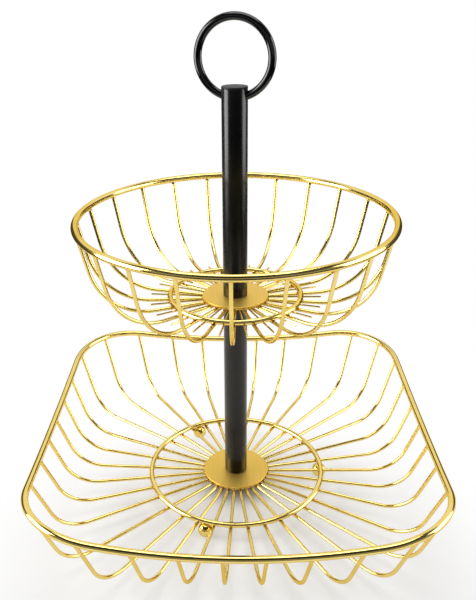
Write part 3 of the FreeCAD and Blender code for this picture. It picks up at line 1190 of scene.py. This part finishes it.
@dataclass
class Feet:
    """Three balls welded under the lower base ring, each with a small flat to stand on."""

    nodes: tuple[str, ...] = ("foot_right", "foot_back_left", "foot_front_left")
    ball_radius: float = 6.0 * MM
    neck_radius: float = 1.9 * MM
    neck_sink: float = 0.6 * MM
    neck_flare: float = 1.25
    segments: int = 48
    rings: int = 28

    def build(self) -> None:
        """Models one foot and dresses a copy of it at each place."""
        gold = PolishedGold("foot_gold", roughness=0.08).material()
        master = self.foot()
        for node in self.nodes:
            low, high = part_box(node)
            middle = (Vector(low) + Vector(high)) / 2
            piece = copied(master, f"{node}_ball", place=(middle.x, middle.y, 0.0))
            dress(piece, gold, Body.LOWER_TIER, [node])
        bpy.data.objects.remove(master)

    def foot(self) -> Piece:
        """Models one foot.

        Returns:
            The finished foot, on the post's axis.
        """
        ring_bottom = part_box("lower_base_ring")[0][2]
        centre = UP * (ring_bottom - self.ball_radius)
        deselect_all()
        bpy.ops.mesh.primitive_uv_sphere_add(
            segments=self.segments, ring_count=self.rings, radius=self.ball_radius, location=centre
        )
        piece = keep("foot_ball")
        cut_level(piece, 0.0, UP)
        pick_faces(piece, self.in_neck)
        bpy.ops.mesh.extrude_region_move(TRANSFORM_OT_translate={"value": UP * self.neck_sink})
        crown = UP * (ring_bottom + self.neck_sink)
        bpy.ops.transform.resize(value=(self.neck_flare, self.neck_flare, 1.0), center_override=crown)
        return close_up(piece)

    def in_neck(self, face: bmesh.types.BMFace) -> bool:
        """Whether a face is on the crown of the ball, inside the neck."""
        return face.normal.z > 0 and face.calc_center_median().to_2d().length < self.neck_radius


# Post, fasteners and handle


@dataclass
class Post:
    """The two lengths of black tube, their threaded ends and the cap."""

    radius: float = 9.5 * MM
    wall_inset: float = 1.23 * MM
    cap_spigot: float = 0.7 * MM
    cap_round: float = 0.4 * MM
    cap_round_segments: int = 5

    def cap(self) -> Piece:
        """Models the cap, with a rounded edge and a spigot that sits in the tube.

        Returns:
            The finished cap.
        """
        low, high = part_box("post_cap")
        piece = cylinder("post_top_cap", self.radius, low[2] + self.cap_spigot, high[2], DISC_VERTICES)
        pick_faces(piece, lambda face: face.normal.z < -LEVEL_NORMAL)
        bpy.ops.mesh.inset(thickness=self.wall_inset)
        bpy.ops.mesh.extrude_region_move(TRANSFORM_OT_translate={"value": UP * -self.cap_spigot})
        soften(piece, self.radius, high[2], self.cap_round, self.cap_round_segments)
        return close_up(piece)

    def build(self, zinc: Material) -> None:
        """Dresses the tubes and their inserts, and models the cap.

        Args:
            zinc: the finish of the threaded inserts.
        """
        black = BlackEnamel("post_enamel").material()
        for node in ("lower_post", "upper_post"):
            repaint(node, black)
        for node in ("lower_post_bottom_insert", "lower_post_top_insert", "upper_post_insert"):
            repaint(node, zinc)
        dull_black = BlackEnamel("cap_enamel", roughness=0.5, gloss=0.3).material()
        dress(self.cap(), dull_black, Body.UPPER_POST, ["post_cap"])


@dataclass
class Fasteners:
    """The bolt under the lower plate, the stud through the upper one, and their washers."""

    thread_radius: float = 4.0 * MM
    thread_pitch: float = 1.25 * MM
    thread_depth: float = 0.75 * MM
    thread_end: float = 0.8 * MM
    thread_steps: int = 40
    head_flats: float = 13.0 * MM
    head_height: float = 5.3 * MM
    head_chamfer: float = 0.5 * MM
    head_corners: int = 6
    turned_vertices: int = 64

    def build(self, zinc: Material) -> None:
        """Models and dresses the fasteners.

        Args:
            zinc: the finish of the steel ones.
        """
        repaint("base_washer", zinc)
        repaint("post_washer", Nylon("post_washer_nylon").material())
        dress(self.stud(), zinc, Body.LOWER_TIER, ["joint_stud"])
        dress(self.bolt(), zinc, Body.LOWER_TIER, ["base_bolt"])

    def blank(
        self, name: str, bottom: float, top: float, radius: float, chamfer: float, ends: Iterable[float]
    ) -> Piece:
        """Models a turned blank with chamfered ends.

        Args:
            name: the piece's name.
            bottom: the height of its lower end.
            top: the height of its upper end.
            radius: its radius.
            chamfer: how far the chamfer goes in.
            ends: the heights of the ends that are chamfered.

        Returns:
            The finished blank.
        """
        piece = cylinder(name, radius, bottom, top, self.turned_vertices)
        for height in ends:
            soften(piece, radius, height, chamfer, segments=1)
        return close_up(piece)

    def trim(self, piece: Piece, blank: Piece) -> Piece:
        """Cuts a piece to the outline of a blank.

        Args:
            piece: the piece.
            blank: the blank, which goes with the cut.

        Returns:
            The same piece, finished.
        """
        take(piece)
        cutter = piece.modifiers.new("trim", "BOOLEAN")
        cutter.operation = "INTERSECT"
        cutter.object = blank
        bpy.ops.object.modifier_apply(modifier=cutter.name)
        bpy.data.objects.remove(blank)
        return close_up(piece)

    def thread(self, name: str, bottom: float, top: float) -> Piece:
        """Models a length of screw thread, cut off square at both ends.

        Args:
            name: the piece's name.
            bottom: the height of its lower end.
            top: the height of its upper end.

        Returns:
            The finished thread.
        """
        flank = self.thread_radius - self.thread_depth / 2
        low = bottom - self.thread_pitch
        middle = Vector((flank, 0.0, low))
        upright = (math.radians(QUARTER_TURN), 0.0, 0.0)
        deselect_all()
        bpy.ops.mesh.primitive_plane_add(size=self.thread_pitch, location=middle, rotation=upright)
        piece = keep(name)
        edit_whole(piece)
        slim = self.thread_depth / self.thread_pitch
        bpy.ops.transform.resize(value=(slim, 1.0, 1.0), center_override=middle)
        pick_edges(piece, lambda point: point.x > flank)
        bpy.ops.mesh.merge(type="CENTER")
        pick_edges(piece, lambda point: point.x < flank)
        bpy.ops.mesh.delete(type="EDGE_FACE")
        bpy.ops.object.mode_set(mode="OBJECT")
        winding = piece.modifiers.new("winding", "SCREW")
        winding.screw_offset = self.thread_pitch
        winding.iterations = math.ceil((top - low) / self.thread_pitch) + 1
        winding.steps = winding.render_steps = self.thread_steps
        winding.use_merge_vertices = True
        winding.merge_threshold = MERGE_DISTANCE
        bpy.ops.object.modifier_apply(modifier=winding.name)
        close_up(piece)
        cut_level(piece, bottom, UP)
        cut_level(piece, top, -UP)
        return close_up(piece)

    def stud(self) -> Piece:
        """Models the stud: a thread with both its ends chamfered.

        Returns:
            The finished stud.
        """
        low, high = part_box("joint_stud")
        ends = (low[2], high[2])
        blank = self.blank("stud_turning", *ends, self.thread_radius, self.thread_end, ends)
        return self.trim(self.thread("joint_stud_thread", *ends), blank)

    def bolt(self) -> Piece:
        """Models the bolt: a hexagon head with its corners turned off, and a plain shank.

        Returns:
            The finished bolt.
        """
        low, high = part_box("base_bolt")
        bottom, top = low[2], high[2]
        head_top = bottom + self.head_height
        corner_radius = self.head_flats / 2 / math.cos(math.pi / self.head_corners)
        head = cylinder("base_bolt_hexagon", corner_radius, bottom, head_top, self.head_corners)
        turn(head, QUARTER_TURN)
        turning = self.blank("bolt_turning", bottom, head_top, corner_radius, self.head_chamfer, (bottom,))
        head = self.trim(head, turning)
        shank = self.blank("bolt_shank", head_top, top, self.thread_radius, self.thread_end, (top,))
        return join([head, shank], "base_bolt_hexagon")


@dataclass
class RingHandle:
    """The wire ring through the top of the post."""

    radius: float = 27.0 * MM
    wire: float = 5.8 * MM
    turned: float = 17.0

    def build(self) -> None:
        """Models and dresses the ring, with its joint hidden in the post."""
        across = Matrix.Rotation(math.radians(-self.turned), 3, UP) @ RADIAL
        centre = UP * middle_height("ring_handle")
        ring = wire_ring("ring_handle_wire", centre, self.radius, self.wire, -UP, across.cross(UP))
        black = BlackEnamel("ring_enamel", roughness=0.1, gloss=0.5).material()
        dress(ring, black, Body.RING_HANDLE, ["ring_handle"])


# Studio


def backdrop_rays(shader: Shader) -> Value:
    """1 for the rays that see the backdrop: from the camera, and through gloss and glass."""
    path = shader.node("ShaderNodeLightPath", {}, {}, "Is Camera Ray")
    return path.or_more(path.part("Is Glossy Ray")).or_more(path.part("Is Transmission Ray"))


@dataclass(frozen=True)
class Softbox:
    """A soft studio lamp that looks at the stand."""

    name: str
    place: Place
    width: float
    height: float
    power: float
    aim: Place = (0.0, 0.0, 0.15)

    def build(self) -> None:
        """Hangs the lamp."""
        facing = (Vector(self.aim) - Vector(self.place)).to_track_quat("-Z", "Y").to_euler()
        deselect_all()
        bpy.ops.object.light_add(type="AREA", location=self.place, rotation=facing)
        lamp = bpy.context.object
        lamp.name = self.name
        lamp.data.shape = "RECTANGLE"
        lamp.data.size = self.width
        lamp.data.size_y = self.height
        lamp.data.energy = self.power


@dataclass(frozen=True)
class Room:
    """A dim room with a white backdrop, pale in front, but not low down or round the camera.

    A span is where a surface fades in or out, by the part of a direction that runs back, up or sideways.
    """

    dim_level: float = 0.08
    pale_gain: float = 0.25
    dark_loss: float = 0.06
    front: Span = (-0.3, 0.0)
    backdrop: Span = (0.5, 0.7)
    backdrop_side: Span = (0.32, 0.42)
    high_back: Span = (0.1, 0.4)
    high_back_bottom: Span = (0.25, 0.42)
    high_back_top: Span = (0.7, 0.85)
    pale_bottom: Span = (-0.12, 0.0)
    pale_top: Span = (0.3, 0.42)
    dark_top: Span = (-0.14, 0.0)
    camera_bottom: Span = (0.42, 0.55)
    camera_top: Span = (0.78, 0.88)
    camera_side: Span = (0.2, 0.5)

    def build(self) -> None:
        """Surrounds the stand with the room.

        The camera sees white on every side, gloss and glass see it where the backdrop hangs.
        """
        world = bpy.data.worlds.new("studio_room")
        bpy.context.scene.world = world
        shader = Shader(world)
        x, y, z = shader.parts(shader.direction())
        front = 1 - y.rise(*self.front)
        behind = y.rise(*self.backdrop) * (1 - abs(x).rise(*self.backdrop_side))
        high_back = y.rise(*self.high_back) * z.between(self.high_back_bottom, self.high_back_top)
        pale = front * z.between(self.pale_bottom, self.pale_top)
        low_front = front * (1 - z.rise(*self.dark_top))
        at_camera = z.between(self.camera_bottom, self.camera_top) * (1 - abs(x).rise(*self.camera_side))
        dark = low_front.or_more(front * at_camera)
        dim = self.dim_level + pale * self.pale_gain - dark * self.dark_loss
        camera = shader.node("ShaderNodeLightPath", {}, {}, "Is Camera Ray")
        white = camera.or_more(backdrop_rays(shader) * behind.or_more(high_back))
        level = white + (1 - white) * dim
        light = shader.node("ShaderNodeBackground", {}, {"Color": (1.0, 1.0, 1.0, 1.0), "Strength": level})
        shader.end(light, "ShaderNodeOutputWorld")


@dataclass
class Studio:
    """A white paper sheet between soft lamps, in the room."""

    floor_width: float = 0.86
    floor_front: float = 0.42
    floor_drop: float = 0.05 * MM
    floor_white: float = 0.45
    floor_lift: float = 0.42
    # Painted shade under the lower plate: the paper's lift fades in over this distance from the post.
    painted_shade_reach: Span = (0.014, 0.044)
    # Middle and reach of the painted shadow that greys the paper round the stand.
    shadow_middle: float = -0.12
    shadow_reach: Span = (0.12, 0.24)
    lamps: tuple[Softbox, ...] = (
        Softbox("left_softbox", (-1.25, -0.22, 0.44), 0.9, 1.12, 25.0),
        Softbox("right_softbox", (1.25, 0.0, 0.44), 0.9, 1.12, 12.9),
        Softbox("top_softbox", (0.0, 0.1, 1.5), 1.2, 0.9, 11.0),
    )

    def build(self) -> None:
        """Sets up the floor, the room and the lamps."""
        deselect_all()
        middle = (0.0, self.floor_width / 2 - self.floor_front, -self.floor_drop)
        bpy.ops.mesh.primitive_plane_add(size=self.floor_width, location=middle)
        floor = keep("studio_floor")
        coat(floor, self.floor_finish())
        Room().build()
        for lamp in self.lamps:
            lamp.build()

    def floor_finish(self) -> Material:
        """Makes white paper with the stand's shadow and a painted shadow near it, and plain white further
        out.

        Returns:
            The material.
        """
        shader = Shader(bpy.data.materials.new("studio_paper"))
        x, y, _ = shader.parts(shader.place())
        # Painted shadow: near the stand the paper is greyer than plain white even where no shadow falls.
        far = distance(x, y - self.shadow_middle).rise(*self.shadow_reach)
        # Painted shade: the paper gets no lift in a disc round the post, so it shows dark under the lower
        # plate.
        outside_painted_shade = distance(x, y).rise(*self.painted_shade_reach)
        seen = backdrop_rays(shader)
        white = (self.floor_white, self.floor_white, self.floor_white, 1.0)
        paper = shader.node("ShaderNodeBsdfDiffuse", {}, {"Color": white})
        lift = shader.node("ShaderNodeEmission", {}, {"Strength": seen * outside_painted_shade * self.floor_lift})
        near = shader.node("ShaderNodeAddShader", {}, {0: paper, 1: lift})
        plain = shader.node("ShaderNodeEmission", {}, {"Strength": seen})
        surface = shader.node("ShaderNodeMixShader", {}, {0: far * seen, 1: near, 2: plain})
        shader.end(surface, "ShaderNodeOutputMaterial")
        return shader.owner


@dataclass(frozen=True)
class PhotoCamera:
    """The camera at the photograph's viewing angle."""

    place: Place = (0.0, -0.53159, 0.41933)
    pitch: float = 24.53
    pan: float = -2.17
    roll: float = -1.11
    lens: float = 44.14
    sideways: float = 0.0467

    def build(self) -> None:
        """Sets up the camera as the scene's own."""
        pitch, pan, roll = (math.radians(angle) for angle in (self.pitch, self.pan, self.roll))
        level = Vector((math.sin(pan), math.cos(pan), 0.0))
        forward = level * math.cos(pitch) - UP * math.sin(pitch)
        right = level.cross(UP)
        up = right.cross(forward)
        columns = (
            right * math.cos(roll) + up * math.sin(roll),
            up * math.cos(roll) - right * math.sin(roll),
            -forward,
        )
        deselect_all()
        bpy.ops.object.camera_add()
        camera = bpy.context.object
        camera.name = "photo_camera"
        camera.matrix_world = Matrix.Translation(self.place) @ Matrix(columns).transposed().to_4x4()
        camera.data.lens = self.lens
        camera.data.shift_x = self.sideways
        bpy.context.scene.camera = camera


def main() -> None:
    """Builds the stand and its studio."""
    logging.basicConfig(level=logging.INFO, format="%(message)s")
    zinc = ZincPlate("zinc_plate").material()
    LowerBasket().build()
    Feet().build()
    UpperBasket().build()
    Post().build(zinc)
    Fasteners().build(zinc)
    RingHandle().build()
    Studio().build()
    PhotoCamera().build()
    bpy.context.scene.view_settings.view_transform = "Standard"


if __name__ == "__main__":
    main()
